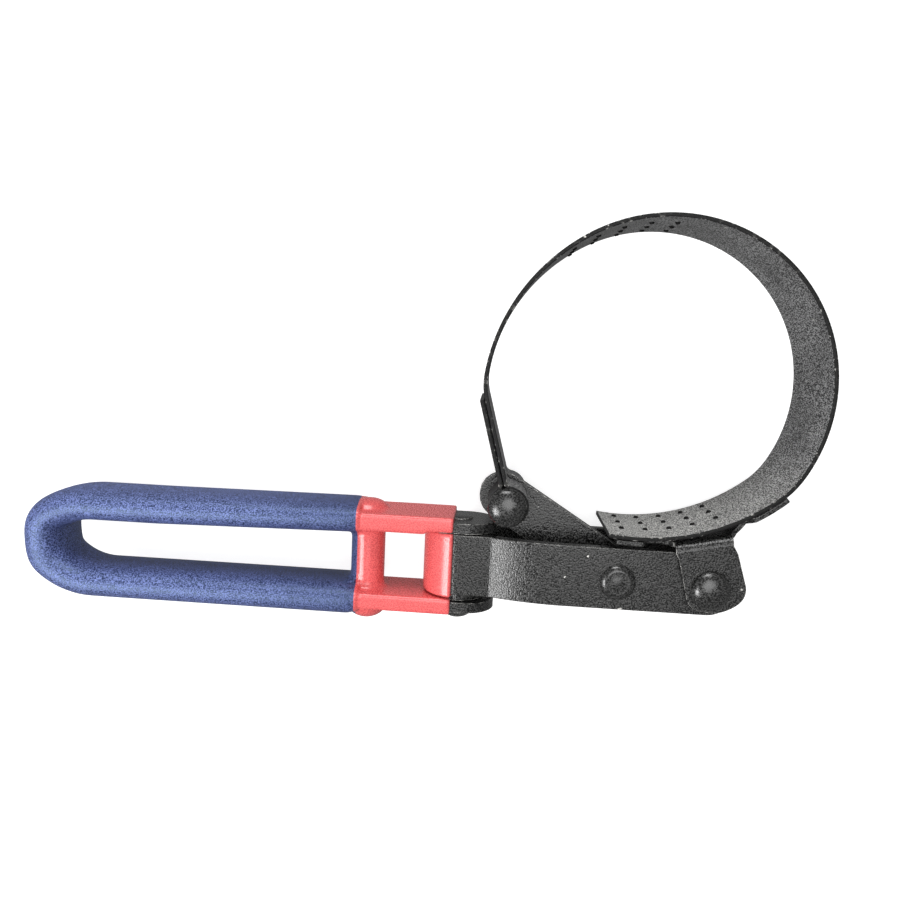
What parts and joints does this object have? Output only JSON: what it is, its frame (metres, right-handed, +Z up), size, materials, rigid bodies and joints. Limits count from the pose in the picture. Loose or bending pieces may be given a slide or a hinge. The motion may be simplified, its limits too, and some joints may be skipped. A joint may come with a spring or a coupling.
{
  "type": "oil filter wrench",
  "caption": "Band wrench for spin-on filters: a steel strap loop tightened by a toggle lever, with a vinyl covered loop handle on a swivel pin.",
  "frame": {"origin": "middle of the underside of the bounding box, with the tool lying on its side", "axes": "+X from the grip towards the band loop, +Y from the lever towards the top of the loop, +Z up, along the axis of the filter that the band grips"},
  "size_m": [0.2438, 0.1274, 0.0386],
  "materials": {
    "band_enamel": "satin black enamel with fine speckle, worn to bright metal on a few edges",
    "black_enamel": "semi-gloss black enamel with a fine hammered texture",
    "plain_steel": "dull machined steel",
    "blue_vinyl": "matte dipped vinyl, slightly mottled",
    "red_vinyl": "semi-gloss dipped vinyl"
  },
  "bodies": {
    "root": {"band_base": "band_enamel", "bracket": "black_enamel", "bracket_rivet": "black_enamel", "bracket_spacer": "plain_steel"},
    "lever": {"lever_clevis": "black_enamel", "knuckle_coat": "red_vinyl", "lever_rivet": "black_enamel", "lever_spacer_front": "plain_steel", "lever_spacer_back": "plain_steel"},
    "link": {"link_bar": "black_enamel", "link_rivet": "black_enamel"},
    "handle": {"handle_strap": "black_enamel", "blue_grip": "blue_vinyl", "red_collar": "red_vinyl", "brace_tube": "plain_steel", "brace_rivet": "red_vinyl", "swivel_pin": "black_enamel", "swivel_sleeve": "plain_steel", "swivel_washer": "plain_steel"},
    "band_a": {"band_right": "band_enamel"},
    "band_b": {"band_upper_right": "band_enamel"},
    "band_c": {"band_top": "band_enamel"},
    "band_d": {"band_upper_left": "band_enamel"},
    "band_e": {"band_left": "band_enamel"},
    "band_f": {"band_eye": "band_enamel"}
  },
  "joints": [
    {"name": "lever_hinge", "type": "hinge", "parent": "root", "child": "lever", "pos_m": [0.09184, -0.04294, 0.0193], "axis": [0, 0, 1], "range_deg": [0, 33]},
    {"name": "link_hinge", "type": "hinge", "parent": "lever", "child": "link", "pos_m": [0.06524, -0.04294, 0.0193], "axis": [0, 0, 1], "range_deg": [-46, 1]},
    {"name": "handle_swivel", "type": "hinge", "parent": "lever", "child": "handle", "pos_m": [0.01724, -0.04204, 0.0193], "axis": [0, 1, 0], "range_deg": [-90, 90]},
    {"name": "flex_a", "type": "hinge", "parent": "root", "child": "band_a", "pos_m": [0.12025, 0.00555, 0.0193], "axis": [0, 0, 1], "range_deg": [0, 3.91]},
    {"name": "flex_b", "type": "hinge", "parent": "band_a", "child": "band_b", "pos_m": [0.11647, 0.03638, 0.0193], "axis": [0, 0, 1], "range_deg": [0, 1.04]},
    {"name": "flex_c", "type": "hinge", "parent": "band_b", "child": "band_c", "pos_m": [0.09451, 0.05834, 0.0193], "axis": [0, 0, 1], "range_deg": [0, 1.04]},
    {"name": "flex_d", "type": "hinge", "parent": "band_c", "child": "band_d", "pos_m": [0.06368, 0.06212, 0.0193], "axis": [0, 0, 1], "range_deg": [0, 1.04]},
    {"name": "flex_e", "type": "hinge", "parent": "band_d", "child": "band_e", "pos_m": [0.03633, 0.04578, 0.0193], "axis": [0, 0, 1], "range_deg": [0, 1.04]},
    {"name": "flex_f", "type": "hinge", "parent": "band_e", "child": "band_f", "pos_m": [0.02311, 0.01678, 0.0193], "axis": [0, 0, 1], "range_deg": [0, 1.04]}
  ],
  "couplings": [
    {"joint": "link_hinge", "follows": "lever_hinge", "ratio": -1.359},
    {"joint": "flex_a", "follows": "lever_hinge", "ratio": 0.117},
    {"joint": "flex_b", "follows": "lever_hinge", "ratio": 0.03},
    {"joint": "flex_c", "follows": "lever_hinge", "ratio": 0.03},
    {"joint": "flex_d", "follows": "lever_hinge", "ratio": 0.03},
    {"joint": "flex_e", "follows": "lever_hinge", "ratio": 0.03},
    {"joint": "flex_f", "follows": "lever_hinge", "ratio": 0.03}
  ]
}
